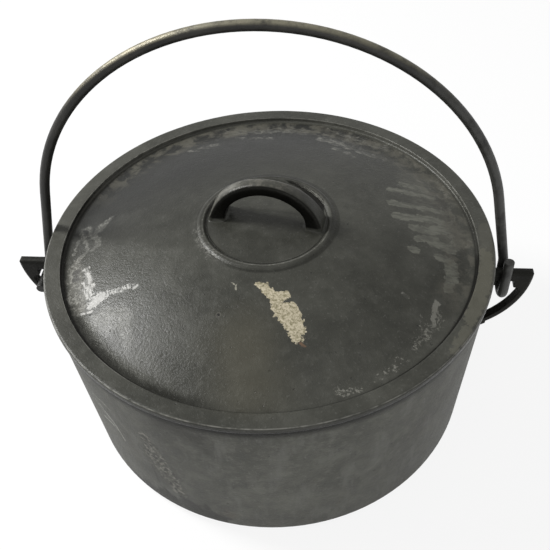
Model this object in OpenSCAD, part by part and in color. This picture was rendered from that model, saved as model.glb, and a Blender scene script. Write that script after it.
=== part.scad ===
// Cast-iron dutch oven: a round pot with two cast-on ears, a flanged domed lid
// with a cast strap handle, and a bent-wire bail hooked through the ears.
// Millimetres. The origin is the centre of the pot's underside, +Z is up,
// the ears lie on the X axis, and the open side of the bail's hooks faces -Y.

/* [Pot] */
// Height of the rim above the table
pot_h = 116.2; // [100:0.1:130]
// Outer radius at the rim
rim_r = 128.6; // [127:0.1:129.2]
// Outer radius at the foot, before its corner is rounded
foot_r = 121.7; // [112:0.1:124]
// Thickness of the cast wall
wall_t = 5; // [4:0.1:5.5]
// Thickness of the cast floor
floor_t = 5.5; // [4:0.1:8]
// Radius of the outer corner at the foot
foot_round = 8; // [4:0.5:16]
// Radius of the inner corner at the floor
floor_round = 14; // [6:0.5:24]
// Chamfer along both edges of the rim
rim_chamfer = 1; // [0.5:0.1:1.4]

/* [Ears] */
// Reach of an ear's tip beyond the rim
ear_out = 27.2; // [26:0.1:29]
// Radius of an ear's curved edge
ear_arc_r = 55.8; // [54:0.1:57]
// Distance of an ear's flat top below the rim
ear_down = 15.8; // [14:0.1:18]
// Thickness of an ear
ear_t = 5.8; // [5:0.1:5.8]
// Height of the bar above the hole
bar_h = 10.4; // [9:0.1:11]
// Width of the band outside the hole
band_w = 4.2; // [3.6:0.1:5]
// Radius in the hole's corners
hole_round = 2.5; // [1:0.1:3]
// Radius on an ear's outer tip
tip_round = 2.2; // [1:0.1:4]
// Radius along the edges of an ear
ear_edge = 2.3; // [2.2:0.1:2.4]
// Radius where an ear's faces run into the wall
ear_fillet = 4.5; // [2:0.1:6]
// Height of the bar over the seat that the bail bears on
seat_bar_h = 8; // [7:0.1:9]

/* [Lid] */
// Reach of the lid beyond the rim
lid_over = 1.4; // [0.6:0.1:1.8]
// Thickness of the lid's flat edge
edge_t = 4.5; // [3.5:0.1:6]
// Radius on the corners of that edge
edge_round = 1.3; // [0.5:0.1:1.7]
// Width of the flat ring round the lid
ring_w = 9.6; // [8:0.1:11]
// Depth of the groove inside the ring
groove_d = 2.8; // [1.5:0.1:3.2]
// Width of the groove's flat bottom, with its corner
groove_w = 3.2; // [2:0.1:5]
// Radius in the groove's outer corner
groove_round = 1.4; // [0.5:0.1:1.9]
// Radius of the hollow in which the dome runs out into the groove
cove_r = 24; // [8:1:40]
// Height of the dome's middle above the ring
dome_rise = 17.2; // [15:0.1:19]
// Thickness of the dome
dome_t = 5; // [4:0.1:6]
// Distance of the raised bead outside the handle's arch
bead_out = 3.4; // [3:0.1:6]
// Radius of the bead's section
bead_r = 3; // [2:0.1:4]
// Height of the bead above the dome
bead_up = 0.9; // [0.4:0.1:1.5]
// Depth of the field inside the bead below the dome
field_drop = 0.9; // [0.2:0.1:1.4]
// Depth of the locating lip under the lid
lip_h = 3; // [2:0.1:3.4]
// Width of the locating lip at its root
lip_w = 9.4; // [9:0.1:11]
// Slope of the locating lip's outer face
lip_slope = 35; // [35:1:60]

/* [Handle] */
// Outer radius of the strap handle's arch
strap_r = 34; // [32:0.1:36]
// Thickness of the strap
strap_t = 7; // [5:0.1:8]
// Width of the strap at its crown
strap_w = 8.4; // [7:0.1:11]
// Width of the strap at its feet
strap_foot_w = 13; // [12:0.1:16]
// Depth of the arch's centre below the dome's middle
strap_sink = 9.8; // [9:0.1:10.4]
// Angle at which the arch runs into the lid
strap_end = 10; // [9:0.5:12]
// Turn of the handle from the line of the ears
strap_turn = -7; // [-20:1:20]
// Distance of the strap behind the lid's middle
strap_back = 1.8; // [0:0.1:2]

/* [Bail] */
// Diameter of the bail's wire
wire_d = 5.75; // [5:0.05:5.75]
// Distance from the rim's radius out to the middle of the arch's wire
arch_out = 3; // [2.6:0.1:5]
// Height of the arch's centre above the lid's ring
arch_up = 0.6; // [0:0.1:3]
// Distance from the rim out to the middle of the closed hook's wire
hook_out = 9.8; // [8.8:0.1:11]
// Height above the pivot line at which the closed hook's leg is bent upright
knee_up = 5.4; // [3:0.1:8]
// Radius of that bend
knee_r = 20; // [12:1:24]
// Depth of the closed hook's bend centre below the pivot line
hook_drop = 5.1; // [4.8:0.1:6]
// Height of the closed hook's end above the pivot line
hook_up = 17.6; // [10:0.1:18]
// Depth of the opened hook's stub below the pivot line
stub_drop = 9; // [8.4:0.1:9.4]
// Radius of the opened hook's bend
stub_bend = 5.5; // [5:0.1:6]
// Reach of the opened hook's end in front of the pivot line
stub_reach = 13.6; // [8:0.1:14]

/* [Fit] */
// Clearance between the pot's rim and the lid
lid_gap = 0.3; // [0.2:0.05:0.5]
// Clearance between the rim's bore and the root of the lid's locating lip
lip_clear = 2.2; // [1.8:0.1:3]
// Clearance between the bail's hooks and the bars that they turn round
hook_clear = 0.33; // [0.3:0.01:0.6]
// Clearance between the wire and the sides of its seat
seat_clear = 0.8; // [0.6:0.1:1.2]

/* [Hidden] */
iron = "#4f504d";
wire_grey = "#3d3c39";
round_n = 72;
small_n = 32;
wire_n = 20;
dome_n = 240;
// Outer radius of the lid, inner radius of its ring, and radius of its locating lip
lid_r = rim_r + lid_over;
ring_in = lid_r - ring_w;
lip_r = rim_r - wall_t - lip_clear;
// Height of the lid's flat ring
ring_z = pot_h + lid_gap + edge_t;
// Centre of the cove, and the radius of the dome's sphere that runs smoothly into it
cove_x = ring_in - groove_w;
cove_z = cove_r - groove_d;
cove_fall = cove_z - dome_rise;
dome_r = (cove_x * cove_x + cove_fall * cove_fall - cove_r * cove_r) / (2 * (cove_r - cove_fall));
dome_z = dome_rise - dome_r;
// Where the dome and the cove meet
foot_share = dome_r / (dome_r + cove_r);
dome_foot_r = cove_x * foot_share;
dome_foot_z = dome_z + (cove_z - dome_z) * foot_share;
// Radius of the bead's ring
bead_ring_r = strap_r + bead_out;
// Radius of the two hollows that narrow the strap
waist_r = strap_r * strap_r / (strap_foot_w - strap_w);
// An ear's flat top, its tip, and the centre of its curved edge
ear_top = pot_h - ear_down;
ear_reach = rim_r + ear_out;
ear_cx = ear_reach - ear_arc_r;
// Height of the pivot line, the middle of the bar over its seat
pivot_z = ear_top - seat_bar_h / 2;
// Reach of the rounded bar's corners from the pivot line, and the bail's plane behind it
bar_reach = norm([ear_t / 2 - ear_edge, seat_bar_h / 2 - ear_edge]) + ear_edge;
leg_back = bar_reach + hook_clear + wire_d / 2;
// The arch, and the closed hook's place
arch_r = rim_r + arch_out;
arch_z = ring_z + arch_up;
hook_x = rim_r + hook_out;
// Angle of the straight legs from the upright: they run from the arch to the hook
knee_drop = arch_z - pivot_z - knee_up;
flare = acos(arch_r / norm([hook_x, knee_drop])) - atan2(knee_drop, hook_x);
// Where a straight leg starts
leg_x = arch_r * cos(flare);
leg_z = arch_z + arch_r * sin(flare);
// Length of the leg down to the bend above the closed hook
knee_run = (hook_x - knee_r * (1 - cos(flare)) - leg_x) / sin(flare);
// Height at which the leg stands upright below that bend, to 0.01 mm
knee_z = round(100 * (leg_z - knee_run * cos(flare) - knee_r * sin(flare))) / 100;
// Length of the leg down to the opened hook's bend
stub_run = (leg_z - pivot_z + stub_drop) / cos(flare) - stub_bend;
// The seat runs from the closed hook's inner side to the stub's outer side
seat_in = hook_x - wire_d / 2 - seat_clear;
seat_end = leg_x + (stub_run + stub_bend) * sin(flare) + wire_d / 2 + seat_clear;
// Ball that joins two runs of wire, and how far each run stops short of its middle
ball_d = wire_d + 0.06;
ball_gap = 0.1;
// Depth that cutters run past a face
past = 10;

// Outline of the pot's outside, from the axis outwards
module pot_outside() {
    taper = (rim_r - foot_r) / pot_h;
    intersection() {
        offset(r = foot_round, $fn = small_n * 2)
        offset(delta = -foot_round)
        polygon([
            [-rim_r, 0],
            [foot_r, 0],
            [foot_r + taper * 2 * pot_h, 2 * pot_h],
            [-rim_r, 2 * pot_h]
        ]);
        polygon([
            [0, 0],
            [rim_r - rim_chamfer + pot_h, 0],
            [rim_r - rim_chamfer, pot_h],
            [0, pot_h]
        ]);
    }
}

// Outline of the hollow inside the pot, run past the rim
module pot_hollow() {
    taper = (rim_r - foot_r) / pot_h;
    mouth_r = rim_r - wall_t;
    base_r = mouth_r - taper * (pot_h - floor_t);
    intersection() {
        union() {
            offset(r = floor_round, $fn = small_n * 2)
            offset(delta = -floor_round)
            polygon([
                [-rim_r, floor_t],
                [base_r, floor_t],
                [mouth_r + taper * pot_h, 2 * pot_h],
                [-rim_r, 2 * pot_h]
            ]);
            polygon([
                [0, pot_h - rim_chamfer],
                [mouth_r, pot_h - rim_chamfer],
                [mouth_r + rim_chamfer + past, pot_h + past],
                [0, pot_h + past]
            ]);
        }
        square([rim_r + past, pot_h + past]);
    }
}

// Front outline of an ear: a half disc whose flat side is the top
module ear_outline() {
    offset(r = tip_round, $fn = small_n)
    offset(delta = -tip_round)
    intersection() {
        translate([ear_cx, ear_top])
        circle(r = ear_arc_r, $fn = round_n * 2);
        translate([0, ear_top - ear_arc_r])
        square([ear_reach + past, ear_arc_r]);
    }
}

// Front outline of the hole, which ends inside the wall
module hole_outline() {
    offset(r = hole_round, $fn = small_n)
    offset(delta = -hole_round)
    intersection() {
        translate([ear_cx, ear_top])
        circle(r = ear_arc_r - band_w, $fn = round_n * 2);
        polygon([
            [rim_r - wall_t / 2, 0],
            [rim_r - wall_t / 2, ear_top - bar_h],
            [(seat_in + seat_end) / 2, ear_top - bar_h],
            [ear_reach, ear_top - bar_h - band_w],
            [ear_reach, 0]
        ]);
    }
}

// Plan of an ear, with fillets where it runs into the wall
module ear_plan() {
    offset(r = -ear_fillet, $fn = small_n)
    offset(delta = ear_fillet)
    union() {
        circle(r = rim_r - wall_t / 2, $fn = round_n * 2);
        translate([0, -ear_t / 2])
        square([ear_reach + 4 * past, ear_t]);
    }
}

// Rounded bar section, w across Y and h along Z, its top at z = 0
module bar_section(w, h, r) {
    offset(r = r, $fn = small_n)
    translate([r - h, r - w / 2])
    square([h - 2 * r, w - 2 * r]);
}

// The ear's plate, rounded along its flat top and its curved edge
module ear_plate() {
    intersection() {
        translate([ear_cx, 0, ear_top])
        rotate([90, 0, 0])
        rotate_extrude($fn = round_n * 2)
        intersection() {
            offset(r = ear_edge, $fn = small_n)
            translate([0, ear_edge - ear_t / 2])
            square([ear_arc_r - ear_edge, ear_t - 2 * ear_edge]);
            translate([0, -ear_t])
            square([ear_reach, 2 * ear_t]);
        }
        translate([ear_cx, 0, ear_top])
        rotate([0, 90, 0])
        mirror([1, 0, 0])
        linear_extrude(height = ear_arc_r + past)
        bar_section(ear_t, ear_arc_r + past, ear_edge);
    }
}

// The root of an ear, where fillets join its faces to the wall
module ear_root() {
    intersection() {
        linear_extrude(height = ear_top - ear_edge)
        ear_plan();
        translate([0, -past, 0])
        cube([rim_r + ear_fillet, 2 * past, ear_top]);
    }
}

// One ear on the +X side
module ear() {
    difference() {
        intersection() {
            rotate([90, 0, 0])
            linear_extrude(height = 4 * past, center = true)
            ear_outline();
            union() {
                ear_plate();
                ear_root();
            }
        }
        rotate([90, 0, 0])
        linear_extrude(height = 4 * past, center = true)
        hole_outline();
        translate([seat_in, -ear_t, ear_top - bar_h - band_w])
        cube([seat_end - seat_in, 2 * ear_t, bar_h + band_w + past]);
    }
    // The bar over the bail's seat, rounded on all four edges
    translate([seat_in, 0, ear_top])
    rotate([0, 90, 0])
    mirror([1, 0, 0])
    linear_extrude(height = seat_end - seat_in)
    bar_section(ear_t, seat_bar_h, ear_edge);
}

module pot() {
    color(iron)
    difference() {
        union() {
            rotate_extrude($fn = round_n)
            pot_outside();
            for (side = [0, 180])
                rotate([0, 0, side])
                ear();
        }
        rotate_extrude($fn = round_n)
        pot_hollow();
    }
}

// Section of the lid, with z = 0 at the top of its flat ring
module lid_section() {
    lip_in = lip_r - lip_w;
    lip_low = -edge_t - lip_h;
    bead_z = dome_z + sqrt(dome_r * dome_r - bead_ring_r * bead_ring_r) + bead_up - bead_r;
    difference() {
        union() {
            intersection() {
                translate([0, dome_z])
                circle(r = dome_r, $fn = dome_n);
                translate([0, lip_low])
                square([cove_x, dome_rise + past]);
            }
            difference() {
                translate([dome_foot_r, lip_low])
                square([cove_x - dome_foot_r, dome_foot_z - lip_low]);
                translate([cove_x, cove_z])
                circle(r = cove_r, $fn = dome_n);
            }
            difference() {
                offset(r = edge_round, $fn = small_n)
                translate([lip_in + edge_round, edge_round - edge_t])
                square([lid_r - lip_in - 2 * edge_round, edge_t - 2 * edge_round]);
                offset(r = groove_round, $fn = small_n)
                translate([0, groove_round - groove_d])
                square([ring_in - groove_round, groove_d + past]);
            }
            polygon([
                [lip_in, lip_low],
                [lip_r - lip_h / tan(lip_slope), lip_low],
                [lip_r, -edge_t],
                [lip_r, -(edge_t + groove_d) / 2],
                [lip_in, -(edge_t + groove_d) / 2]
            ]);
        }
        intersection() {
            translate([0, dome_z])
            circle(r = dome_r - dome_t, $fn = dome_n);
            translate([0, lip_low - past])
            square([lip_in, edge_t + dome_rise + 2 * past]);
        }
        difference() {
            square([bead_ring_r - bead_r / 2, dome_rise + past]);
            translate([0, dome_z])
            circle(r = dome_r - field_drop, $fn = dome_n);
        }
    }
    translate([bead_ring_r, bead_z])
    circle(r = bead_r, $fn = small_n);
}

// The strap handle's arch, standing on the XY plane along X
module strap() {
    difference() {
        rotate([90, 0, 0])
        rotate_extrude(start = strap_end, angle = 180 - 2 * strap_end, $fn = round_n)
        translate([strap_r - strap_t, -strap_foot_w / 2])
        square([strap_t, strap_foot_w]);
        for (side = [-1, 1])
            translate([0, side * (strap_w / 2 + waist_r), 0])
            cylinder(r = waist_r, h = strap_r + past, $fn = round_n * 6);
    }
}

module lid() {
    color(iron)
    translate([0, 0, ring_z]) {
        rotate_extrude($fn = round_n)
        lid_section();
        rotate([0, 0, strap_turn])
        translate([0, strap_back, dome_rise - strap_sink])
        strap();
    }
}

// Part of a ring of wire in the XY plane
module wire_arc(r, from, turn) {
    rotate_extrude(start = from, angle = turn, $fn = round_n)
    translate([r, 0])
    circle(d = wire_d, $fn = wire_n);
}

// A straight length of wire, running down from the origin
module wire_down(len) {
    translate([0, 0, -len])
    cylinder(d = wire_d, h = len, $fn = wire_n);
}

// A straight length of wire with a ball at its upper end
module wire_leg(len) {
    sphere(d = ball_d, $fn = small_n);
    translate([0, 0, -ball_gap])
    wire_down(len - ball_gap);
}

// The right leg ends in a hook that is closed round the ear's bar
module closed_leg() {
    translate([leg_x, leg_back, leg_z])
    rotate([0, -flare, 0]) {
        wire_leg(knee_run - ball_gap);
        translate([0, 0, -knee_run])
        sphere(d = ball_d, $fn = small_n);
    }
    translate([hook_x - knee_r, leg_back, knee_z])
    rotate([90, 0, 0])
    wire_arc(knee_r, 0, flare);
    translate([hook_x, leg_back, knee_z])
    wire_down(knee_z - pivot_z + hook_drop);
    translate([hook_x, 0, pivot_z - hook_drop])
    rotate([90, 0, 90])
    wire_arc(leg_back, 180, 180);
    translate([hook_x, -leg_back, pivot_z + hook_up])
    wire_down(hook_up + hook_drop);
}

// The left leg ends in a stub that points forward through the hole
module opened_leg() {
    translate([-leg_x, leg_back, leg_z])
    rotate([0, flare, 0]) {
        wire_leg(stub_run);
        translate([0, -stub_bend, -stub_run])
        rotate([90, 0, 90])
        wire_arc(stub_bend, 270, 90);
        translate([0, -stub_bend, -stub_run - stub_bend])
        rotate([-90, 0, 0])
        wire_down(stub_reach + leg_back - stub_bend);
    }
}

module bail() {
    color(wire_grey) {
        translate([0, leg_back, arch_z])
        rotate([90, 0, 0])
        wire_arc(arch_r, flare, 180 - 2 * flare);
        closed_leg();
        opened_leg();
    }
}

pot();
lid();
bail();
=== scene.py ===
import math

import bmesh
import bpy
from mathutils import Matrix, Vector, noise


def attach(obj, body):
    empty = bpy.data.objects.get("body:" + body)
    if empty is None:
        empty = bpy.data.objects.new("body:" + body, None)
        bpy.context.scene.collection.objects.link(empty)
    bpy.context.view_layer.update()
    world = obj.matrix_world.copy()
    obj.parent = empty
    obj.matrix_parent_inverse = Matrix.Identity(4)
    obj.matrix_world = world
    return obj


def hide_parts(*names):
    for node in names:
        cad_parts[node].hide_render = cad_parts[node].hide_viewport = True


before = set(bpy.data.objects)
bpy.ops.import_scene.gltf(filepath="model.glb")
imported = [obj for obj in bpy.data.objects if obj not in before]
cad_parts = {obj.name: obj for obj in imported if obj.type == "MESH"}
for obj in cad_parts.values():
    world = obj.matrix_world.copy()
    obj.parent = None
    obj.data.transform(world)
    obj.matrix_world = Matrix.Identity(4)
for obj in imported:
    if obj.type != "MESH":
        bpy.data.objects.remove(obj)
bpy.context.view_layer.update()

MM = 1000.0

# Sizes of the lid and its handle, in millimetres, the same as in the part's source
RING_Z = 121.0
LID_R, EDGE_T, EDGE_ROUND, RING_W = 130.0, 4.5, 1.3, 9.6
RING_IN = LID_R - RING_W
GROOVE_D, GROOVE_W, GROOVE_ROUND, COVE_R = 2.8, 3.2, 1.4, 24.0
DOME_RISE, DOME_T = 17.2, 5.0
COVE_X, COVE_Z = RING_IN - GROOVE_W, COVE_R - GROOVE_D
COVE_FALL = COVE_Z - DOME_RISE
DOME_R = (COVE_X ** 2 + COVE_FALL ** 2 - COVE_R ** 2) / (2 * (COVE_R - COVE_FALL))
DOME_Z = DOME_RISE - DOME_R
DOME_FOOT_R = COVE_X * DOME_R / (DOME_R + COVE_R)
BEAD_RING_R, BEAD_R, BEAD_UP, FIELD_DROP = 37.4, 3.0, 0.9, 0.9
LIP_R, LIP_H, LIP_SLOPE = 121.4, 3.0, 35.0
STRAP_R, STRAP_T, STRAP_W, STRAP_FOOT_W = 34.0, 7.0, 8.4, 13.0
STRAP_UP, STRAP_END, STRAP_TURN, STRAP_BACK = 7.4, 10.0, -7.0, 1.8

# How finely the lid's section is cut: the dome, its underside, the ring, its underside, and round the axis
DOME_STEP, UNDER_STEP, RING_STEP, RING_UNDER_STEP, LID_TURNS = 2.6, 4.0, 1.4, 1.6, 300
# The same for its arcs, in degrees: the bead, the cove and the small rounds, and where the bead starts and ends
BEAD_ARC_STEP, COVE_ARC_STEP, ROUND_ARC_STEP = 8.0, 2.5, 15
BEAD_ARC_START, BEAD_ARC_END = 152, 42
# How finely the strap is cut, and the radii of its outer and inner corners
STRAP_STEPS, STRAP_CORNER_STEPS = 72, 5
STRAP_OUTER, STRAP_INNER = 2.3, 1.0
# How high above the lid the feet start to widen, and by how much to each side and inwards
STRAP_FLARE_H, STRAP_FLARE_W, STRAP_FLARE_T = 14.0, 1.6, 3.4
# How far the middle of the strap's outer face stands proud at its crown
STRAP_CROWN = 0.25
# How deep the waves of the sand casting are, and the sizes and shares of the long and the short ones
SKIN_DEPTH = 0.16
LONG_WAVE, LONG_SHARE, SHORT_WAVE, SHORT_SHARE = 26.0, 0.5, 7.0, 0.22

# How far the shading softens sharp edges, in metres, and with how many samples
EDGE_SOFT, EDGE_SAMPLES = 0.0009, 6

# Half the floor's width and how far it lies under the pot, in metres
FLOOR_HALF, FLOOR_DROP = 6.0, 0.0004
FLOOR_COLOUR = (0.86, 0.86, 0.86, 1)
WHITE = (1, 1, 1, 1)
# How much of the floor's look is its own white, the rest being lit and shadowed
FLOOR_GLOW = 0.88
# The world's strength as a light, and where it is seen
WORLD_LIGHT, WORLD_SEEN = 0.32, 0.84

# Name, place, what it aims at, diameter in metres and power in watts
LAMPS = (("key", (-0.98, 0.23, 0.94), (0, 0, 0.1), 0.36, 24.0),
         ("top", (0.1, -0.2, 1.6), (0, 0, 0.1), 1.0, 1.5),
         ("front", (0.35, -1.5, 0.55), (0, 0, 0.06), 1.0, 4.0))

# The camera: the frame and the focal length in pixels, and where the middle of the lid's ring lies in the frame
IMAGE, FOCAL_PX = 550, 798.9
RING_AT = (267.71, 239.19)
ROLL = math.radians(4.21)
EYE = Vector((0.04619, -0.33503, 0.4423))
SENSOR = 36.0
CLIP_NEAR, CLIP_FAR = 0.01, 50

# Strokes of the marks: the points, the width to each side (or one width per point), the width of the soft
# edge, how ragged the edge is, and the size of its lumps. On the lid they lie in X and Y.
SWATHS = (
    ([(78, 46.6), (92, 46)], [2.4, 3.4], 0.9, 3, 3),
    ([(71, 38.5), (83, 38.4), (98, 39)], [2.4, 2.6, 2.0], 0.8, 3, 3),
    ([(71, 24.9), (83, 25), (106, 27)], [2.6, 2.9, 2.2], 0.8, 3, 3),
    ([(74.5, 13.4), (86, 15), (101, 17)], [3.6, 3.5, 3.2], 0.8, 3, 3),
    ([(84.1, 5.4), (93.4, 5.9), (104, 12)], [3.5, 3.7, 4.6], 0.9, 3, 3),
    ([(86.1, -2.4), (96, 0.1)], 3.0, 0.8, 3, 3),
    ([(94.6, -3.6), (104.3, -5.8), (110, 2)], 3.8, 1.0, 3, 3),
    ([(82.4, -11.6), (84, -12.6)], 3.2, 0.7, 3, 3),
    ([(96.9, -13.8), (103.7, -15.3), (104.7, -25.9), (100.7, -36)], [2.8, 3.9, 4.1, 2.8], 0.8, 4, 3.5),
)
NET = (
    ([(-95.4, 13.5), (-100.5, 5.5), (-104.5, -2.4)], [1.2, 3.6, 2.2], 0.8, 3.5, 3),
    ([(-113.5, 7), (-108.5, 7.7), (-105.9, 0.6), (-111.1, 0.1), (-113.5, 7)], 1.7, 0.8, 3, 3),
    ([(-103, -1.5), (-100.7, -4.4), (-98.6, -10), (-102.5, -14)], [2.8, 2.4, 1.9, 1.3], 0.8, 3, 3),
    ([(-110.6, 2.7), (-110.1, -1.6), (-106.3, -7.7), (-104.7, -13.9), (-109, -17.5)], 1.5, 0.8, 3, 3),
    ([(-113.1, -1.7), (-113.4, -14.4)], 1.2, 0.8, 2.5, 3),
)
COLUMN = ([(-110.2, -20.1), (-107, -34), (-104, -46), (-98.1, -56.5)], [4.2, 6.0, 6.0, 4.5], 2.5, 7, 5)
COLUMN_STREAK = ([(-101.9, -27.4), (-98.3, -36.5), (-95.4, -47.8)], [1.8, 3.1, 2.9], 1.0, 5, 3)
BRIGHT = (
    ([(-93.2, -54.6), (-91, -52.6), (-88.4, -50.2)], [2.4, 3.9, 3.9], 0.7, 5, 2.2),
    ([(-97.5, -59.4), (-91.6, -58.6)], 1.0, 0.6, 2.5, 3),
)
DOTTED = ([(-85.6, -48.7), (-78.5, -47.4), (-75.4, -46.8), (-70.6, -45.7)], [2.6, 2.0, 2.8, 2.0], 0.8, 2.5, 2.5)
DOTTED_END = ([(-68.4, -46.9), (-67.2, -45.5)], 1.3, 0.8, 2, 3)
CREAM = (
    ([(-1.3, -48.8), (3.1, -49.7), (6.8, -54.6)], [1.2, 2.8, 3.1], 0.5, 2.6, 2.4),
    ([(9.8, -55.8), (14.3, -54.9)], 3.1, 0.5, 2.2, 2.2),
    ([(10.2, -60.4), (14.6, -64), (19, -69.4), (21.4, -74.8), (21.8, -77.9)], [3.7, 5.7, 5.6, 4.6, 3.6],
     0.5, 4.0, 2.6),
    ([(19, -60.5), (23.6, -66.8)], [2.2, 0.8], 0.5, 2.2, 2.2),
    ([(22, -71.3), (26.4, -75)], [1.6, 0.5], 0.5, 2, 2.2),
    ([(21, -79.2), (25, -80.2)], [2.2, 0.6], 0.5, 2, 2.2),
)
CREAM_END = ([(24.6, -81.6), (26.5, -83)], 1.2, 0.8, 2.5, 3)
FLECK = (
    ([(-14.4, -47.6), (-12, -49.6), (-11.6, -52.4)], 0.45, 0.4, 1.2, 2),
    ([(-10.8, -47), (-12, -49.6)], 0.4, 0.4, 1.2, 2),
)
PIT = (-19.4, -67.4, 0)
REAR = (
    ([(-56, 80.5), (-40.6, 84.6)], 2.6, 3, 8, 4),
    ([(-27, 94), (-6, 92.5)], 2.6, 3, 8, 4),
    ([(-30, 107), (19.5, 105)], 5.5, 4, 9, 6),
    ([(39.6, 105), (68, 91)], 5.0, 4, 9, 6),
    ([(28, 93.7), (65.7, 75.5)], 4.4, 4, 9, 5),
    ([(36, 80), (48, 74)], 3.0, 3, 9, 5),
    ([(77, -44.9), (78.5, -46)], 1.6, 0.8, 2, 3),
)
RIGHT_TICK = ([(94.4, -46.5), (92.3, -57)], [2.0, 1.7], 0.9, 3, 3)
RIGHT_CURVE = ([(86.3, -55.7), (86.1, -61.7), (80.7, -70.3)], 1.3, 0.8, 4, 2.5)
RIGHT_SWEEP = ([(95.9, -56.1), (90.3, -63.2), (82, -76)], 2.4, 1.2, 5, 3)
FRONT_HOOK = ([(72, -84), (78, -84), (60, -96)], 2.6, 1.4, 5, 3)
FRONT_TICK = ([(43.7, -105), (54, -102.5)], 2.8, 1.2, 5, 3)
CRESCENT = ([(6, 38), (20, 31), (30, 16), (32, 7)], [1.4, 3.8, 3.0, 1.0], 0.8)
WORN_RING = ([(126, 14), (126, -20), (122, -38)], [5, 6.5, 8], 2, 3, 6)
TAN = ([(124, -8), (122.5, -22), (119, -36), (114.5, -48), (110.5, -57.5)],
       [4.0, 5.0, 5.5, 5.5, 4.0], 1.2, 5, 3)
TAN_END = ([(109, -65.5), (105, -71.5), (100, -79.5)], [4.0, 3.6, 1.6], 0.8, 5, 3)
# On the pot they lie in X, Y and Z
SCRATCHES = (
    ([(-90.8, -88.5, 86), (-83.9, -95.3, 89), (-77.5, -100.5, 87)], 0.4, 0.4, 0.9, 3),
    ([(-87.5, -91, 81), (-82.7, -95.3, 75), (-78.2, -98.5, 69), (-75.6, -99.8, 57)], [0.5, 1.0, 0.8, 0.5],
     0.4, 1.0, 3),
    ([(-87.3, -90.4, 67), (-82.1, -95.2, 68), (-77.9, -98.5, 65)], [0.9, 0.8, 0.4], 0.5, 1.1, 3),
    ([(-91, -88, 80), (-84, -94.3, 72), (-80, -97, 63)], 0.5, 0.4, 1.1, 3),
)
FLAKED = ([(-57, -112.5, 84), (-56, -112.8, 66), (-53, -113.2, 50), (-46, -114.8, 30)],
          [5.0, 8.0, 9.0, 6.0], 3, 8, 7)
BESIDE_AND_BELOW = (
    ([(-59.3, -110.8, 68), (-59.7, -109.3, 48), (-58.6, -108.2, 24)], [0.8, 1.4, 1.0], 2, 2, 5),
    ([(-76, -95, 8), (-57.7, -108, 10), (-41.2, -115.5, 12), (-24.7, -120.1, 12)], [9, 13, 13, 9], 5, 16, 13),
)
BURNT = ([(-44, -118, 110), (-25, -125, 104), (-20, -125, 88)], [9, 8, 4], 8, 8, 11)

# Colours that more than one mark has
# The dark colour of painted shade
SHADE_BLACK = (0.007, 0.0068, 0.0058)
BURNT_IRON = (0.016, 0.0155, 0.0125)
# The colour of painted highlights
HIGHLIGHT_IRON = (0.2, 0.197, 0.175)


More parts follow.
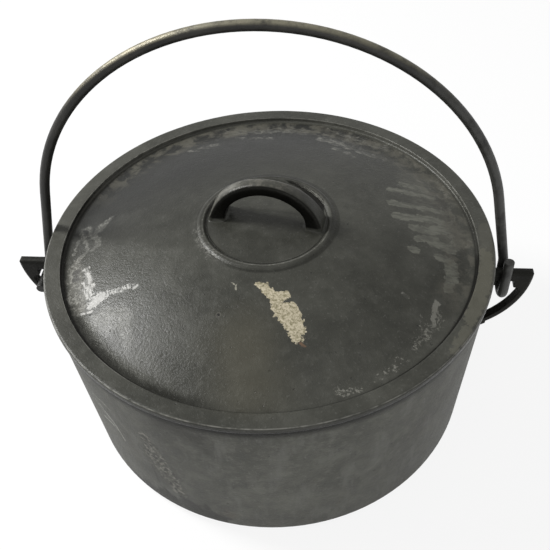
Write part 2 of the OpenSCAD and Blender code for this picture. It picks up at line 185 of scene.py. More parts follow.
class Graph:
    """The nodes of one material. Places are in millimetres in the part's own frame."""

    def __init__(self, name):
        self.material = bpy.data.materials.new(name)
        self.material.use_nodes = True
        self.tree = self.material.node_tree
        self.tree.nodes.clear()
        coords = self.node("ShaderNodeTexCoord")
        self.place = self.vector("SCALE", coords.outputs["Object"], scale=MM)
        axes = self.node("ShaderNodeSeparateXYZ")
        self.put(self.place, axes.inputs[0])
        self.x, self.y, self.z = axes.outputs
        self.flat = self.vector("MULTIPLY", self.place, (1, 1, 0))
        self.noises = {}
        self.colour = None

    def node(self, kind, **settings):
        made = self.tree.nodes.new(kind)
        for name, value in settings.items():
            setattr(made, name, value)
        return made

    def put(self, value, socket):
        if isinstance(value, bpy.types.NodeSocket):
            self.tree.links.new(value, socket)
        elif value is not None:
            socket.default_value = value

    def math(self, operation, a, b=None, c=None):
        made = self.node("ShaderNodeMath", operation=operation)
        for value, socket in zip((a, b, c), made.inputs):
            self.put(value, socket)
        return made.outputs[0]

    def times(self, mask, factor):
        return self.math("MULTIPLY", mask, factor)

    def vector(self, operation, a, b=None, scale=None):
        made = self.node("ShaderNodeVectorMath", operation=operation)
        self.put(a, made.inputs[0])
        self.put(b, made.inputs[1])
        if scale is not None:
            self.put(scale, made.inputs["Scale"])
        return made.outputs["Value" if operation in ("DOT_PRODUCT", "LENGTH", "DISTANCE") else "Vector"]

    def noise(self, size, detail=3.0, rough=0.5, warp=0.0, at=None):
        """Noise whose lumps are about size millimetres across, made once for each set of sizes."""
        key = (size, detail, rough, warp, at)
        if key not in self.noises:
            made = self.node("ShaderNodeTexNoise")
            self.put(self.place if at is None else at, made.inputs["Vector"])
            self.put(1.0 / size, made.inputs["Scale"])
            self.put(detail, made.inputs["Detail"])
            self.put(rough, made.inputs["Roughness"])
            self.put(warp, made.inputs["Distortion"])
            self.noises[key] = made.outputs["Fac"]
        return self.noises[key]

    def map_range(self, kind, values):
        made = self.node("ShaderNodeMapRange", interpolation_type=kind, clamp=False)
        for value, name in zip(values, ("Value", "From Min", "From Max", "To Min", "To Max")):
            self.put(value, made.inputs[name])
        return made.outputs["Result"]

    def step(self, value, low, high):
        """Smooth step from 0 at low to 1 at high."""
        return self.map_range("SMOOTHSTEP", (value, low, high, 0.0, 1.0))

    def line(self, value, low, high, to_low, to_high):
        """Straight map from low..high to to_low..to_high, which goes on beyond them."""
        return self.map_range("LINEAR", (value, low, high, to_low, to_high))

    def weight(self, mask, at_none, at_full=1.0):
        """How strongly something is painted: at_none where the mask is 0, at_full where it is 1."""
        return self.line(mask, 0.0, 1.0, at_none, at_full)

    def mix(self, share, a, b):
        made = self.node("ShaderNodeMix", data_type="RGBA")
        for value, socket in ((share, made.inputs[0]), (a, made.inputs[6]), (b, made.inputs[7])):
            if isinstance(value, tuple):
                value = value + (1.0,)
            self.put(value, socket)
        return made.outputs[2]

    def paint(self, mask, strength, colour):
        """Lays a colour over what the material has so far."""
        self.colour = self.mix(self.times(mask, strength), self.colour, colour)

    def turned(self, angle, stretch):
        """Places turned by angle degrees about Z and shrunk along the new X by stretch."""
        made = self.node("ShaderNodeMapping")
        self.put(self.place, made.inputs["Vector"])
        made.inputs["Rotation"].default_value = (0, 0, math.radians(-angle))
        return self.vector("MULTIPLY", made.outputs[0], (1.0 / stretch, 1.0, 1.0))

    def near(self, points, width, soft=1.0, ragged=0.0, lump=6.0):
        """Mask of a stroke through the points, width millimetres to each side, or one width per point."""
        place = self.flat if len(points[0]) == 2 else self.place
        widths = width if isinstance(width, list) else [width] * len(points)
        inside = None
        for start, end, width_start, width_end in zip(points, points[1:], widths, widths[1:]):
            a, b = Vector(start).to_3d(), Vector(end).to_3d()
            along = b - a
            from_start = self.vector("SUBTRACT", place, tuple(a))
            share = self.vector("DOT_PRODUCT", from_start, tuple(along / along.length_squared))
            share = self.math("MAXIMUM", self.math("MINIMUM", share, 1.0), 0.0)
            distance = self.vector("DISTANCE", from_start, self.vector("SCALE", tuple(along), scale=share))
            distance = self.math("MULTIPLY_ADD", share, width_start - width_end, distance)
            distance = self.math("SUBTRACT", distance, width_start)
            inside = distance if inside is None else self.math("MINIMUM", inside, distance)
        if ragged:
            rough = self.math("MULTIPLY_ADD", self.noise(lump, 4.0, 0.6), 2 * ragged, -ragged)
            inside = self.math("ADD", inside, rough)
        return self.step(inside, 0.0, -soft)

    def strokes(self, table):
        return self.any_of(*[self.near(*stroke) for stroke in table])

    def all_of(self, *masks):
        out = masks[0]
        for mask in masks[1:]:
            out = self.math("MULTIPLY", out, mask)
        return out

    def any_of(self, *masks):
        out = masks[0]
        for mask in masks[1:]:
            out = self.math("MAXIMUM", out, mask)
        return out

    def finish(self, roughness, height, depth, metallic, specular):
        """The shader itself, with its edges softened and bumps of depth metres."""
        shader = self.node("ShaderNodeBsdfPrincipled")
        self.put(self.colour, shader.inputs["Base Color"])
        self.put(roughness, shader.inputs["Roughness"])
        self.put(metallic, shader.inputs["Metallic"])
        self.put(specular, shader.inputs["Specular IOR Level"])
        bevel = self.node("ShaderNodeBevel", samples=EDGE_SAMPLES)
        self.put(EDGE_SOFT, bevel.inputs["Radius"])
        bump = self.node("ShaderNodeBump")
        self.put(1.0, bump.inputs["Strength"])
        self.put(depth, bump.inputs["Distance"])
        self.put(height, bump.inputs["Height"])
        self.put(bevel.outputs[0], bump.inputs["Normal"])
        self.put(bump.outputs[0], shader.inputs["Normal"])
        out = self.node("ShaderNodeOutputMaterial")
        self.put(shader.outputs[0], out.inputs[0])
        return self.material


def cast_base(g, tone, contrast):
    """Paints bare seasoned cast iron, its colours times tone, and gives its roughness and height."""
    def toned(*colour):
        return tuple(part * tone for part in colour)

    cloud = g.noise(46, 4, 0.55, 0.6)
    patch = g.noise(17, 5, 0.6, 0.4)
    mottle = g.noise(7, 5, 0.65)
    grain = g.noise(1.5, 4, 0.6)
    fine = g.noise(0.6, 2, 0.5)
    g.colour = g.mix(g.step(cloud, 0.3, 0.7), toned(0.026, 0.0262, 0.0215), toned(0.04, 0.0402, 0.0335))
    g.paint(g.step(patch, 0.46, 0.7), 0.5 * contrast, toned(0.066, 0.066, 0.056))
    g.paint(g.step(mottle, 0.48, 0.74), 0.6 * contrast, toned(0.075, 0.075, 0.065))
    g.paint(g.step(mottle, 0.5, 0.28), 0.6 * contrast, toned(0.015, 0.015, 0.0125))
    g.paint(g.step(grain, 0.58, 0.72), 0.35, toned(0.1, 0.1, 0.09))
    pits = g.step(g.noise(3.2, 3, 0.6), 0.33, 0.26)
    g.paint(pits, 0.6, (0.009, 0.009, 0.008))
    rough = g.line(mottle, 0.25, 0.75, 0.3, 0.44)
    height = g.math("MULTIPLY_ADD", grain, 0.55, g.times(fine, 0.3))
    height = g.math("ADD", height, g.times(mottle, 0.5))
    height = g.math("SUBTRACT", height, g.times(pits, 0.35))
    return rough, height


class LidMasks:
    """The distance from the lid's axis, and the noises that break up its marks."""

    def __init__(self, g):
        self.g = g
        self.radius = g.vector("LENGTH", g.flat)
        self.grain = g.noise(0.9, 3, 0.6)
        self.curl = g.step(g.noise(4.0, 6, 0.72, 1.8), 0.48, 0.62)
        self.flecks = g.step(g.noise(2.2, 4, 0.7), 0.53, 0.64)
        self.specks = g.step(g.noise(1.3, 3, 0.6), 0.5, 0.6)
        self.streaks = g.step(g.noise(2.4, 5, 0.65, at=g.turned(3, 5)), 0.38, 0.62)
        self.broken = g.step(g.noise(5.0, 4, 0.65), 0.36, 0.6)

    def beyond(self, low, high):
        """Rises from 0 to 1 as the radius goes from low to high, or falls where high is the smaller."""
        return self.g.step(self.radius, low, high)

    def band(self, middle, half, soft):
        off = self.g.math("ABSOLUTE", self.g.math("SUBTRACT", self.radius, middle))
        return self.g.step(off, half + soft, half)


def paint_brush_marks(g, m):
    """The dome's back painted darker as painted shade, its brownish front, and on the right dull swaths of a
    brush, drawn across it.
    """
    # Painted shade: the dome's back is darkened, for a dimmer reflection there
    back = g.step(g.math("MULTIPLY_ADD", g.x, -0.5, g.y), 10, 90)
    g.paint(g.all_of(back, m.beyond(119, 117)), 0.85, (0.0125, 0.0128, 0.0122))
    g.paint(g.near([(-6, -82), (0, -103)], 30, 28, 8, 20), 0.4, (0.083, 0.077, 0.054))
    swaths = g.all_of(g.strokes(SWATHS), g.weight(m.streaks, 0.35))
    haze = g.all_of(g.near([(86, 54), (93, 30), (104, 6)], 13, 6, 8, 9), g.weight(m.streaks, 0.25))
    g.paint(haze, 0.6, (0.085, 0.084, 0.069))
    g.paint(swaths, 0.85, (0.135, 0.136, 0.114))
    g.paint(g.near([(101, 36), (108, 20), (111, -2)], 6, 5, 6, 7), 0.4, (0.03, 0.028, 0.0225))
    return swaths


def paint_silver_scuffs(g, m):
    """On the left: a net of curls, a worn column, a bright spot, a dotted streak and a speckled painted
    highlight.
    """
    net = g.strokes(NET)
    g.paint(g.all_of(net, g.weight(m.curl, 0.3)), 0.65, (0.19, 0.188, 0.168))
    column = g.near(*COLUMN)
    g.paint(column, 0.4, (0.11, 0.106, 0.09))
    g.paint(g.all_of(column, g.any_of(m.curl, m.flecks)), 0.65, (0.27, 0.265, 0.238))
    g.paint(g.near([(-108, -28), (-107, -34)], 3.0, 1.6, 5, 5), 0.8, (0.035, 0.034, 0.03))
    streak = g.near(*COLUMN_STREAK)
    strips = g.step(g.noise(2.4, 4, 0.65, at=g.turned(-66, 3.5)), 0.4, 0.54)
    g.paint(g.all_of(streak, g.weight(strips, 0.25)), 0.95, (0.38, 0.375, 0.352))
    bright = g.strokes(BRIGHT)
    g.paint(g.all_of(bright, g.line(m.grain, 0.3, 0.55, 0.45, 1.0)), 1.0, (0.4, 0.395, 0.375))
    dotted = g.all_of(g.near(*DOTTED), g.step(g.noise(1.0, 3, 0.6, at=g.turned(-78, 2.2)), 0.46, 0.56))
    g.paint(dotted, 0.9, (0.37, 0.366, 0.344))
    g.paint(g.near(*DOTTED_END), 0.8, (0.37, 0.366, 0.344))
    # Painted highlight in speckles on the dome's front left
    painted_highlight = g.near([(-92, -62), (-84, -64), (-72, -66), (-66, -82)], [4, 9, 9, 4], 6, 7, 7)
    g.paint(g.all_of(painted_highlight, g.weight(m.specks, 0.35)), 0.5, (0.24, 0.237, 0.212))
    return net, bright, column


def paint_cream_patch(g):
    """In front of the handle: a flaking cream patch with the iron showing through, a fleck and a pit."""
    cream = g.strokes(CREAM)
    grit = g.noise(1.25, 4, 0.7)
    holes = g.step(g.noise(2.1, 5, 0.72), 0.4, 0.34)
    cream_colour = g.mix(g.step(grit, 0.36, 0.6), (0.19, 0.17, 0.1), (0.47, 0.42, 0.31))
    cream_colour = g.mix(g.times(holes, 0.75), cream_colour, (0.1, 0.09, 0.055))
    g.paint(cream, 0.97, cream_colour)
    g.paint(g.near(*CREAM_END), 0.6, (0.17, 0.1, 0.06))
    g.paint(g.strokes(FLECK), 0.8, (0.28, 0.27, 0.22))
    from_pit = g.vector("DISTANCE", g.flat, PIT)
    g.paint(g.step(from_pit, 1.7, 1.3), 0.45, (0.11, 0.106, 0.09))
    g.paint(g.step(from_pit, 1.2, 0.6), 0.9, (0.004, 0.004, 0.0035))
    return cream


def paint_ring_scuffs(g, m):
    """Scuffs on the dome near the ring, at the back, on the right and in front."""
    rear = g.strokes(REAR)
    smears = g.step(g.noise(2.0, 5, 0.7, at=g.turned(-14, 3)), 0.47, 0.6)
    rear = g.all_of(rear, g.weight(g.any_of(smears, g.all_of(m.flecks, m.specks)), 0.12))
    g.paint(rear, 0.72, (0.18, 0.177, 0.155))
    ticks = g.any_of(g.near(*RIGHT_TICK),
                     g.all_of(g.near(*RIGHT_CURVE), m.flecks),
                     g.all_of(g.near(*RIGHT_SWEEP), g.any_of(m.flecks, m.curl)),
                     g.all_of(g.near(*FRONT_HOOK), m.flecks),
                     g.all_of(g.near(*FRONT_TICK), g.any_of(m.flecks, m.specks)))
    g.paint(ticks, 0.75, (0.19, 0.187, 0.163))


def paint_groove(g, m):
    """The groove, rusty and scuffed on the cove's slope, with painted shade beside the ring and round the bead,
    painted shadow behind and under the strap, and painted light on the ring's inner wall at the back.
    """
    slope = g.all_of(m.beyond(99, 106), m.beyond(119.4, 117.5))
    behind = g.any_of(g.step(g.y, 20, 70), g.all_of(g.step(g.x, 40, 90), g.step(g.y, -60, -25)))
    rust = g.all_of(slope, behind, g.step(g.noise(9, 5, 0.65, 0.4), 0.42, 0.6))
    g.paint(rust, 0.7, (0.086, 0.082, 0.066))
    pale = g.all_of(slope, g.weight(behind, 0.12), g.step(g.noise(4.5, 5, 0.7, 0.5), 0.52, 0.64))
    pale = g.all_of(pale, g.step(g.noise(46, 4, 0.55, 0.6), 0.38, 0.6), g.step(g.x, -75, -20))
    g.paint(pale, 0.6, (0.13, 0.127, 0.108))
    # Painted shade in the groove beside the ring: broad on the left, wide at the front left, a thin line all
    # round and along the front, faint at the back
    left = g.weight(g.step(g.x, -35, -95), 0.12, 0.9)
    near_left = g.all_of(g.step(g.x, -5, -45), g.step(g.y, -35, -65))
    shadow = g.any_of(g.times(m.beyond(117.6, 119.4), 0.6), g.all_of(m.beyond(116, 119), left),
                      g.times(g.all_of(m.beyond(111.5, 118), near_left), 0.75))
    shadow = g.all_of(shadow, g.weight(g.step(g.y, 75, 20), 0.15))
    front_shade_line = g.all_of(m.beyond(118.2, 119.2), g.math("SUBTRACT", 1.0, g.step(g.y, -12, 4)))
    groove_shade = g.all_of(g.any_of(shadow, front_shade_line), m.beyond(RING_IN + 0.35, RING_IN + 0.1))
    # Painted shade over the bead's outer slope at the back right, damping its glancing reflection
    behind_bead = g.all_of(m.band(BEAD_RING_R + 2.2, 2.0, 0.6),
                           g.step(g.math("MULTIPLY_ADD", g.x, 0.7, g.y), 2, 24))
    # Painted shade in the hollows at the bead's feet: inside it, most on the left, and outside it, most in
    # front
    inside = g.weight(g.step(g.x, -5, -32), 0.25, 0.75)
    outside = g.all_of(g.weight(g.step(g.y, 12, -12), 0.1, 0.5), g.weight(g.step(g.x, -8, -28), 1.0, 0.35))
    around_bead = g.any_of(g.all_of(m.band(BEAD_RING_R - 3.0, 0.3, 0.5), inside),
                           g.all_of(m.band(BEAD_RING_R + 3.0, 0.3, 1.2), outside))
    # Painted shadow in the hollow between the strap and the bead at the back right
    crescent = g.all_of(g.near(*CRESCENT), m.beyond(BEAD_RING_R - 0.5, BEAD_RING_R - 1.3))
    # Painted shadow of the strap on the field under it
    under_strap = g.near([(-22, 9), (2, 7), (24, 4)], 3.5, 7)
    # All of this is painted in the dark colour of painted shade
    painted_shade = g.any_of(groove_shade, around_bead, crescent, g.times(behind_bead, 0.4), g.times(under_strap, 0.65))
    g.paint(painted_shade, 0.85, SHADE_BLACK)
    # Painted light: the ring's inner wall at the back is painted lighter
    rear_wall = g.all_of(m.beyond(118.4, 119.6), m.beyond(RING_IN + 0.3, RING_IN), g.step(g.y, 5, 50))
    g.paint(rear_wall, 0.2, (0.1, 0.098, 0.083))
    return painted_shade


def paint_ring(g, m):
    """The ring is paler at its far left, and has tan patches on the right."""
    ring = m.beyond(RING_IN, RING_IN + 0.3)
    g.paint(g.all_of(ring, g.step(g.x, -80, -122)), 0.35, (0.08, 0.079, 0.068))
    g.paint(g.all_of(g.near(*WORN_RING), ring), 0.4, (0.085, 0.083, 0.067))
    tan = g.any_of(g.near(*TAN), g.times(g.near(*TAN_END), 0.8))
    g.paint(g.all_of(tan, ring), 0.5, (0.113, 0.109, 0.084))


def paint_edge_highlights(g, m):
    """Painted highlights on the bead's crest and the ring's edges, brighter than the faces."""
    speckle = g.all_of(g.near([(-37, -10), (-34.5, -20), (-26.5, -29.5)], 4.2, 2.5, 5, 4),
                       m.beyond(35.6, 36.8), g.any_of(m.flecks, m.specks))
    g.paint(speckle, 0.5, (0.2, 0.197, 0.177))
    # Painted highlight along the bead's crest, weaker at the back right
    bead_top = g.all_of(m.band(BEAD_RING_R - 0.8, 0.1, 0.6), g.weight(g.all_of(m.broken, m.specks), 0.3))
    back_right = g.step(g.math("MULTIPLY_ADD", g.x, 0.7, g.y), 8, 26)
    g.paint(g.all_of(bead_top, g.weight(back_right, 1.0, 0.15)), 0.8, HIGHLIGHT_IRON)
    # Painted highlights on the ring's inner edge, full on the left, weaker at the back and none in front, and
    # on its outer top edge all round
    lit = g.any_of(g.weight(g.step(g.y, -12, 4), 0.0, 0.55), g.step(g.x, -40, -75))
    inner_edge = g.all_of(m.band(RING_IN + 0.3, 0.12, 0.25), lit)
    outer_edge = g.all_of(m.band(LID_R - 0.5, 0.12, 0.3), g.step(g.z, RING_Z - 0.8, RING_Z - 0.5))
    edges = g.any_of(g.all_of(inner_edge, g.weight(m.broken, 0.3)),
                     g.all_of(outer_edge, g.weight(m.broken, 0.2)))
    g.paint(edges, 0.6, (0.25, 0.247, 0.222))


def paint_rim_and_strap(g, m, normal):
    """The rim's side face and the strap's flanks are painted in shade; the strap's top is painted lighter on
    its left, rubbed in patches, with a painted highlight on the left shoulder.
    """
    rim = m.beyond(LID_R - 3.0, LID_R - 2.0)
    # Painted shade on the rim's side face, fainter near its top
    side = g.all_of(rim, g.step(g.z, RING_Z - 0.9, RING_Z - 1.8), g.weight(g.step(g.z, 118.8, 117.6), 0.3))
    strap = g.all_of(g.step(g.z, RING_Z + 16.4, RING_Z + 17.6), m.beyond(36.5, 35.5))
    from_axis = g.vector("MULTIPLY", g.vector("SUBTRACT", g.place, (0, 0, RING_Z + STRAP_UP)), (1, 0, 1))
    outward = g.vector("DOT_PRODUCT", normal, g.vector("NORMALIZE", from_axis))
    # Painted shade on the strap's flanks, the faces that do not look outwards
    flank = g.all_of(strap, g.step(outward, 0.92, 0.7))
    # Painted light on the outward face of the strap's left half, fading towards the right, with brighter rubbed
    # patches in it
    top = g.all_of(strap, g.step(outward, 0.7, 0.92), g.step(g.x, 28, 2))
    rubbed = g.all_of(top, g.step(g.noise(4.2, 5, 0.7), 0.46, 0.6))
    # Painted highlight on the strap's left shoulder
    shoulder = g.all_of(top, g.near([(-25, 5), (-17, 3)], [4.0, 4.5], 6, 4, 4))
    g.paint(top, 0.35, (0.06, 0.058, 0.048))
    g.paint(rubbed, 0.5, (0.14, 0.132, 0.112))
    g.paint(shoulder, 0.55, HIGHLIGHT_IRON)
    # The flanks and the rim's side in the dark colour of painted shade
    rim_and_flank_shade = g.any_of(side, flank)
    g.paint(rim_and_flank_shade, 0.92, SHADE_BLACK)
    return rim_and_flank_shade


def lid_material():
    g = Graph("lid_cast_iron")
    rough, height = cast_base(g, tone=1.2, contrast=0.45)
    rough = g.math("SUBTRACT", rough, 0.03)
    bare = g.colour
    m = LidMasks(g)
    swaths = paint_brush_marks(g, m)
    net, bright, column = paint_silver_scuffs(g, m)
    cream = paint_cream_patch(g)
    paint_ring_scuffs(g, m)
    painted_shade = paint_groove(g, m)
    paint_ring(g, m)
    paint_edge_highlights(g, m)
    normal = g.node("ShaderNodeTexCoord").outputs["Normal"]
    painted_shade = g.any_of(painted_shade, paint_rim_and_strap(g, m, normal))
    # The lid's underside has none of these marks
    normal_axes = g.node("ShaderNodeSeparateXYZ")
    g.put(normal, normal_axes.inputs[0])
    above = g.any_of(g.step(normal_axes.outputs[2], -0.6, -0.3), g.step(g.z, RING_Z + 13, RING_Z + 14))
    g.colour = g.mix(above, bare, g.colour)
    marks = g.any_of(net, bright, cream, swaths, column)
    rough = g.math("ADD", rough, g.times(marks, 0.12))
    # The painted shade is given as a very dark metal, whose highlights are as dark as its colour
    return g.finish(rough, height, depth=0.00034, metallic=g.times(g.all_of(painted_shade, above), 0.8), specular=0.19)


def pot_material():
    g = Graph("pot_cast_iron")
    rough, height = cast_base(g, tone=1.95, contrast=0.9)
    rough = g.math("ADD", rough, 0.18)
    g.paint(g.step(g.z, 60, 0), 0.25, (0.045, 0.045, 0.04))
    # Runs down the wall: noise that is stretched along Z
    drawn = g.vector("MULTIPLY", g.place, (1, 1, 0.22))
    g.paint(g.step(g.noise(6.5, 4, 0.6, at=drawn), 0.5, 0.72), 0.5, (0.125, 0.125, 0.112))
    # On the left fine scratches, and a band flaked to light and dark spots, burnt beside it and below
    g.paint(g.strokes(SCRATCHES), 0.8, (0.38, 0.38, 0.34))
    flaked = g.near(*FLAKED)
    spots = g.noise(2.6, 5, 0.7)
    g.paint(flaked, 0.45, (0.062, 0.059, 0.046))
    g.paint(g.all_of(flaked, g.step(spots, 0.49, 0.6)), 0.8, (0.22, 0.214, 0.18))
    g.paint(g.all_of(flaked, g.step(spots, 0.47, 0.39)), 0.75, BURNT_IRON)
    g.paint(g.strokes(BESIDE_AND_BELOW), 0.75, BURNT_IRON)
    # Painted shade: the wall's left side is made a little darker
    g.paint(g.step(g.x, -5, -60), 0.25, (0.024, 0.0238, 0.02))
    g.paint(g.near(*BURNT), 0.6, (0.02, 0.019, 0.015))
    rust = g.all_of(g.step(g.noise(30, 4, 0.6, 0.5), 0.56, 0.7), g.step(g.z, 90, 20))
    g.paint(rust, 0.3, (0.08, 0.066, 0.048))
    # The ears are darker than the wall, and so is the pot's rim under the lid, as painted shade; both are a
    # dark metal, which throws back little light
    ears = g.step(g.math("ABSOLUTE", g.x), 126, 133)
    ears_and_rim_shade = g.any_of(ears, g.step(g.z, 108, 115))
    g.paint(ears_and_rim_shade, 0.92, (0.007, 0.007, 0.006))
    return g.finish(rough, height, depth=0.00042, metallic=g.times(ears_and_rim_shade, 0.7), specular=0.22)


def bail_material():
    g = Graph("bail_wire")
    cloud = g.noise(22, 4, 0.6, 0.4)
    fine = g.noise(1.1, 4, 0.65)
    g.colour = g.mix(g.step(cloud, 0.35, 0.68), (0.014, 0.0138, 0.0125), (0.03, 0.029, 0.0255))
    # The side of the wire that looks up is painted lighter in patches, a painted highlight near the top and
    # brassy at the left shoulder
    normal = g.node("ShaderNodeSeparateXYZ")
    g.put(g.node("ShaderNodeTexCoord").outputs["Normal"], normal.inputs[0])
    worn = g.all_of(g.step(g.noise(7, 4, 0.65), 0.25, 0.6), g.step(normal.outputs[2], 0.3, 0.95))
    g.paint(g.all_of(worn, g.step(g.z, 205, 240)), 0.85, (0.2, 0.187, 0.134))
    brass_highlight = g.all_of(worn, g.step(g.z, 196, 226), g.step(g.x, -22, -62))
    g.paint(brass_highlight, 0.8, (0.2, 0.176, 0.115))
    # Painted reflection, grey, along the right leg
    grey = g.all_of(g.step(g.x, 60, 120), g.step(g.noise(9, 4, 0.6), 0.3, 0.6))
    g.paint(grey, 0.6, (0.085, 0.086, 0.08))
    g.paint(g.step(fine, 0.6, 0.72), 0.35, (0.02, 0.019, 0.016))
    rough = g.line(cloud, 0.2, 0.8, 0.34, 0.48)
    height = g.math("ADD", fine, g.times(cloud, 0.5))
    return g.finish(rough, height, depth=0.00022, metallic=0.3, specular=0.35)


def background_rays(tree):
    """1 for the rays that show the background: from the camera, off gloss or through something clear."""
    rays = tree.nodes.new("ShaderNodeLightPath").outputs
    seen = rays["Is Camera Ray"]
    for kind in ("Is Glossy Ray", "Is Transmission Ray"):
        either = tree.nodes.new("ShaderNodeMath")
        either.operation = "MAXIMUM"
        tree.links.new(seen, either.inputs[0])
        tree.links.new(rays[kind], either.inputs[1])
        seen = either.outputs[0]
    return seen


def floor_material():
    """Pale and lit from the lamps, but mostly its own white where it is seen, so that it keeps the shadow."""
    g = Graph("floor_pale")
    diffuse = g.node("ShaderNodeBsdfDiffuse")
    g.put(FLOOR_COLOUR, diffuse.inputs["Color"])
    white = g.node("ShaderNodeEmission")
    g.put(WHITE, white.inputs["Color"])
    g.put(1.0, white.inputs["Strength"])
    mixed = g.node("ShaderNodeMixShader")
    g.put(g.times(background_rays(g.tree), FLOOR_GLOW), mixed.inputs[0])
    g.put(diffuse.outputs[0], mixed.inputs[1])
    g.put(white.outputs[0], mixed.inputs[2])
    out = g.node("ShaderNodeOutputMaterial")
    g.put(mixed.outputs[0], out.inputs[0])
    return g.material


def arc(cx, cz, r, start, end, step):
    """Points on a circle from start to end degrees, in the (radius, height) plane."""
    count = max(2, int(abs(end - start) / step) + 1)
    angles = [math.radians(start + (end - start) * i / count) for i in range(count + 1)]
    return [(cx + r * math.cos(t), cz + r * math.sin(t)) for t in angles]


def between(low, high, step):
    count = max(1, round(abs(high - low) / step))
    return [low + (high - low) * i / count for i in range(count + 1)]


def sphere_height(radius, at):
    """Height over the ring's top of a sphere about the dome's centre, at this distance from the axis."""
    return DOME_Z + math.sqrt(radius * radius - at * at)


def field_height(at):
    return sphere_height(DOME_R - FIELD_DROP, at)


def dome_height(at):
    return sphere_height(DOME_R, at)


def lid_profile():
    """The lid's section from the middle of its top round to the middle of its underside."""
    out = [(r, field_height(r)) for r in between(0, BEAD_RING_R - 6.0, DOME_STEP)]
    # The bead, with a small hollow fillet on both sides
    bead_z = dome_height(BEAD_RING_R) + BEAD_UP - BEAD_R
    inner_z = field_height(BEAD_RING_R - 3.4)
    outer_z = dome_height(BEAD_RING_R + 3.1)
    out += [(BEAD_RING_R - 4.2, field_height(BEAD_RING_R - 4.2) + 0.02),
            (BEAD_RING_R - 3.4, inner_z + 0.16), (BEAD_RING_R - 2.9, inner_z + 0.55)]
    out += arc(BEAD_RING_R, bead_z, BEAD_R, BEAD_ARC_START, BEAD_ARC_END, BEAD_ARC_STEP)
    out += [(BEAD_RING_R + 2.6, outer_z + 0.3), (BEAD_RING_R + 3.4, outer_z + 0.06)]
    out += [(r, dome_height(r)) for r in between(BEAD_RING_R + 4.6, DOME_FOOT_R - 0.3, DOME_STEP)]
    # The cove in which the dome runs out, the groove's flat bottom and its corner under the ring
    foot = math.degrees(math.asin((COVE_X - DOME_FOOT_R) / COVE_R))
    out += arc(COVE_X, COVE_Z, COVE_R, 270 - foot, 270, COVE_ARC_STEP)
    out += arc(RING_IN - GROOVE_ROUND, GROOVE_ROUND - GROOVE_D, GROOVE_ROUND, 270, 360, ROUND_ARC_STEP)
    # The ring, its eased inner edge and its rounded rim
    out += [(RING_IN, -0.5), (RING_IN + 0.06, -0.22), (RING_IN + 0.22, -0.06), (RING_IN + 0.5, 0.0)]
    out += [(r, 0.0) for r in between(RING_IN + 1.2, LID_R - EDGE_ROUND - 0.4, RING_STEP)]
    out += arc(LID_R - EDGE_ROUND, -EDGE_ROUND, EDGE_ROUND, 90, 0, ROUND_ARC_STEP)
    out += arc(LID_R - EDGE_ROUND, EDGE_ROUND - EDGE_T, EDGE_ROUND, 0, -90, ROUND_ARC_STEP)
    out += [(r, -EDGE_T) for r in between(LID_R - EDGE_ROUND - 1.0, LIP_R + 0.6, RING_UNDER_STEP)]
    # The locating lip and the dome's underside
    slope = LIP_H / math.tan(math.radians(LIP_SLOPE))
    under_r = DOME_R - DOME_T
    inner_foot = math.sqrt(under_r ** 2 - (EDGE_T + LIP_H + DOME_Z) ** 2)
    out += [(LIP_R, -EDGE_T - 0.1), (LIP_R - slope + 0.5, -EDGE_T - LIP_H + 0.35),
            (LIP_R - slope - 0.4, -EDGE_T - LIP_H), (inner_foot + 0.5, -EDGE_T - LIP_H)]
    out += [(r, sphere_height(under_r, r)) for r in between(inner_foot - 0.4, 0, UNDER_STEP)]
    return out


def revolve(profile, turns):
    """A closed mesh from a section turned about Z, whose two ends lie on the axis."""
    points = [(0, 0, profile[0][1])]
    faces = []
    rings = [p for p in profile if p[0] > 0.01]
    for r, z in rings:
        for k in range(turns):
            t = 2 * math.pi * k / turns
            points.append((r * math.cos(t), r * math.sin(t), z))
    points.append((0, 0, profile[-1][1]))
    last = len(points) - 1
    last_ring = 1 + (len(rings) - 1) * turns
    for k in range(turns):
        n = (k + 1) % turns
        faces.append((0, 1 + k, 1 + n))
        for a in range(1, last_ring, turns):
            b = a + turns
            faces.append((a + k, b + k, b + n, a + n))
        faces.append((last_ring + k, last, last_ring + n))
    return points, faces


def strap_section(half_w):
    """The strap's section: (outwards, sideways) from its middle, with rounded corners."""
    section = []
    for side_r, side_w, start in ((1, 1, 0), (-1, 1, 90), (-1, -1, 180), (1, -1, 270)):
        corner = STRAP_OUTER if side_r > 0 else STRAP_INNER
        for k in range(STRAP_CORNER_STEPS + 1):
            a = math.radians(start + 90 * k / STRAP_CORNER_STEPS)
            section.append((side_r * (STRAP_T / 2 - corner) + corner * math.cos(a),
                            side_w * (half_w - corner) + corner * math.sin(a)))
    return section


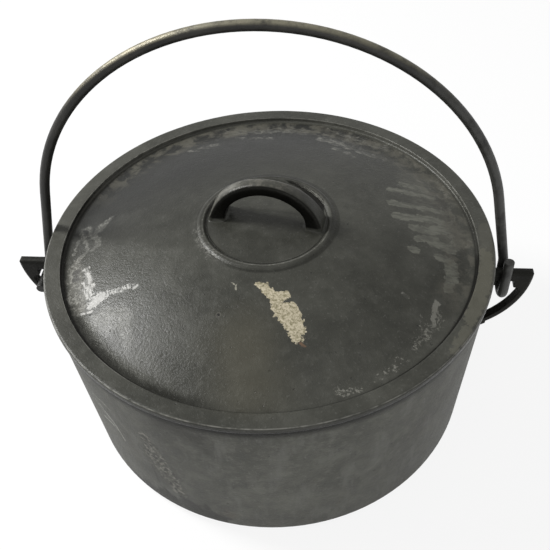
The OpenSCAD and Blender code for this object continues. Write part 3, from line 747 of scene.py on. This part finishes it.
def strap_mesh():
    """The strap handle: a flat bar bent to an arch, its edges rounded and its feet flared into the lid."""
    points, faces = [], []
    middle = STRAP_R - STRAP_T / 2
    waist = STRAP_R * STRAP_R / (STRAP_FOOT_W - STRAP_W)
    for i in range(STRAP_STEPS + 1):
        t = math.radians(STRAP_END + (180 - 2 * STRAP_END) * i / STRAP_STEPS)
        x, z = middle * math.cos(t), STRAP_UP + middle * math.sin(t)
        above = max(z - field_height(abs(x)), 0.0)
        flare = max(1.0 - above / STRAP_FLARE_H, 0.0) ** 2
        half_w = STRAP_W / 2 + waist - math.sqrt(waist * waist - x * x) + STRAP_FLARE_W * flare
        # The middle of the strap's outer face stands a little proud, and its inner face is flat
        crown = STRAP_CROWN * math.sin(t)
        section = strap_section(half_w)
        for u, v in section:
            r = u + (crown * (1 - (v / half_w) ** 2) if u > 0 else -STRAP_FLARE_T * flare)
            points.append((x + r * math.cos(t), v, z + r * math.sin(t)))
    n = len(section)
    for i in range(STRAP_STEPS):
        for k in range(n):
            faces.append((i * n + k, i * n + (k + 1) % n, (i + 1) * n + (k + 1) % n, (i + 1) * n + k))
    faces.append(tuple(reversed(range(n))))
    faces.append(tuple(range(STRAP_STEPS * n, STRAP_STEPS * n + n)))
    return points, faces


def smooth(mesh):
    for polygon in mesh.polygons:
        polygon.use_smooth = True


def new_object(name, points, faces, place):
    """A smooth-shaded mesh object from points in millimetres."""
    mesh = bpy.data.meshes.new(name)
    mesh.from_pydata([tuple(place @ Vector(p) / MM) for p in points], [], faces)
    mesh.update()
    obj = bpy.data.objects.new(name, mesh)
    bpy.context.scene.collection.objects.link(obj)
    work = bmesh.new()
    work.from_mesh(mesh)
    bmesh.ops.recalc_face_normals(work, faces=work.faces)
    work.to_mesh(mesh)
    work.free()
    smooth(mesh)
    return obj


def join_solids(base, tool):
    """Unites tool with base into one skin and deletes tool."""
    united = base.modifiers.new("unite", "BOOLEAN")
    united.operation = "UNION"
    united.solver = "EXACT"
    united.object = tool
    graph = bpy.context.evaluated_depsgraph_get()
    mesh = bpy.data.meshes.new_from_object(base.evaluated_get(graph))
    old = base.data
    base.modifiers.clear()
    base.data = mesh
    bpy.data.meshes.remove(old)
    bpy.data.objects.remove(tool)
    smooth(mesh)


def cast_skin(obj, depth):
    """Presses the slow waves of a sand casting into a mesh, at most depth millimetres deep."""
    normals = [v.normal.copy() for v in obj.data.vertices]
    for vertex, normal in zip(obj.data.vertices, normals):
        at = vertex.co * MM
        long_wave = noise.fractal(at / LONG_WAVE, 0.8, 2.0, 3) * LONG_SHARE
        wave = long_wave + noise.noise(at / SHORT_WAVE) * SHORT_SHARE
        wave = max(-1.0, min(1.0, wave))
        vertex.co -= normal * (depth * (0.5 + 0.5 * wave)) / MM


def dress(node, material):
    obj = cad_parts[node]
    obj.data.materials.clear()
    obj.data.materials.append(material)


def make_world():
    """White where it is seen, soft grey where it lights."""
    world = bpy.data.worlds.new("studio")
    bpy.context.scene.world = world
    world.use_nodes = True
    tree = world.node_tree
    tree.nodes.clear()
    strength = tree.nodes.new("ShaderNodeMapRange")
    tree.links.new(background_rays(tree), strength.inputs["Value"])
    strength.inputs["To Min"].default_value = WORLD_LIGHT
    strength.inputs["To Max"].default_value = WORLD_SEEN
    sky = tree.nodes.new("ShaderNodeBackground")
    sky.inputs["Color"].default_value = WHITE
    tree.links.new(strength.outputs["Result"], sky.inputs["Strength"])
    out = tree.nodes.new("ShaderNodeOutputWorld")
    tree.links.new(sky.outputs[0], out.inputs[0])


def lamp(name, place, aim, size, power):
    data = bpy.data.lights.new(name, "AREA")
    data.shape = "DISK"
    data.size = size
    data.energy = power
    obj = bpy.data.objects.new(name, data)
    bpy.context.scene.collection.objects.link(obj)
    obj.location = place
    obj.rotation_euler = (Vector(aim) - Vector(place)).to_track_quat("-Z", "Y").to_euler()


def turn_between(first, second, angle):
    """Rotation matrix by angle in the plane of the first and second axis, from the second to the first."""
    out = Matrix.Identity(3)
    out[first][first] = out[second][second] = math.cos(angle)
    out[first][second] = math.sin(angle)
    out[second][first] = -math.sin(angle)
    return out


def make_camera():
    """The camera, at the place from which the photograph was taken, aimed by where the ring lies in it."""
    ahead = (Vector((0, 0, RING_Z / MM)) - EYE).normalized()
    right = ahead.cross(Vector((0, 0, 1))).normalized()
    towards_ring = Matrix((right, right.cross(ahead), ahead))
    turn = math.atan2(RING_AT[0] - IMAGE / 2, FOCAL_PX)
    tilt = math.atan2((IMAGE / 2 - RING_AT[1]) * math.cos(turn), FOCAL_PX)
    aimed = turn_between(0, 2, turn) @ turn_between(1, 2, tilt) @ turn_between(0, 1, -ROLL) @ towards_ring
    data = bpy.data.cameras.new("camera")
    data.sensor_width = SENSOR
    data.lens = FOCAL_PX * SENSOR / IMAGE
    data.clip_start = CLIP_NEAR
    data.clip_end = CLIP_FAR
    obj = bpy.data.objects.new("camera", data)
    bpy.context.scene.collection.objects.link(obj)
    pose = Matrix((aimed[0], aimed[1], -aimed[2])).transposed().to_4x4()
    pose.translation = EYE
    obj.matrix_world = pose
    return obj


pot_look, lid_look, bail_look = pot_material(), lid_material(), bail_material()
dress("pot", pot_look)
dress("lid", lid_look)
dress("bail", bail_look)

# The lid is a mesh of its own, with the strap handle cast in one with it
at_ring = Matrix.Translation((0, 0, RING_Z))
lid_piece = new_object("lid_casting", *revolve(lid_profile(), LID_TURNS), at_ring)
strap_turn = Matrix.Rotation(math.radians(STRAP_TURN), 4, "Z")
strap_place = at_ring @ strap_turn @ Matrix.Translation((0, STRAP_BACK, 0))
join_solids(lid_piece, new_object("lid_strap", *strap_mesh(), strap_place))
cast_skin(lid_piece, SKIN_DEPTH)
lid_piece.data.materials.clear()
lid_piece.data.materials.append(lid_look)
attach(lid_piece, "lid")
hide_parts("lid")

floor_mesh = bpy.data.meshes.new("floor")
floor_corners = [(-1, -1), (1, -1), (1, 1), (-1, 1)]
floor_mesh.from_pydata([(x * FLOOR_HALF, y * FLOOR_HALF, 0) for x, y in floor_corners], [], [(0, 1, 2, 3)])
floor = bpy.data.objects.new("floor", floor_mesh)
bpy.context.scene.collection.objects.link(floor)
floor.location.z = -FLOOR_DROP
floor_mesh.materials.append(floor_material())

make_world()
for settings in LAMPS:
    lamp(*settings)
bpy.context.scene.camera = make_camera()
bpy.context.scene.view_settings.view_transform = "Standard"
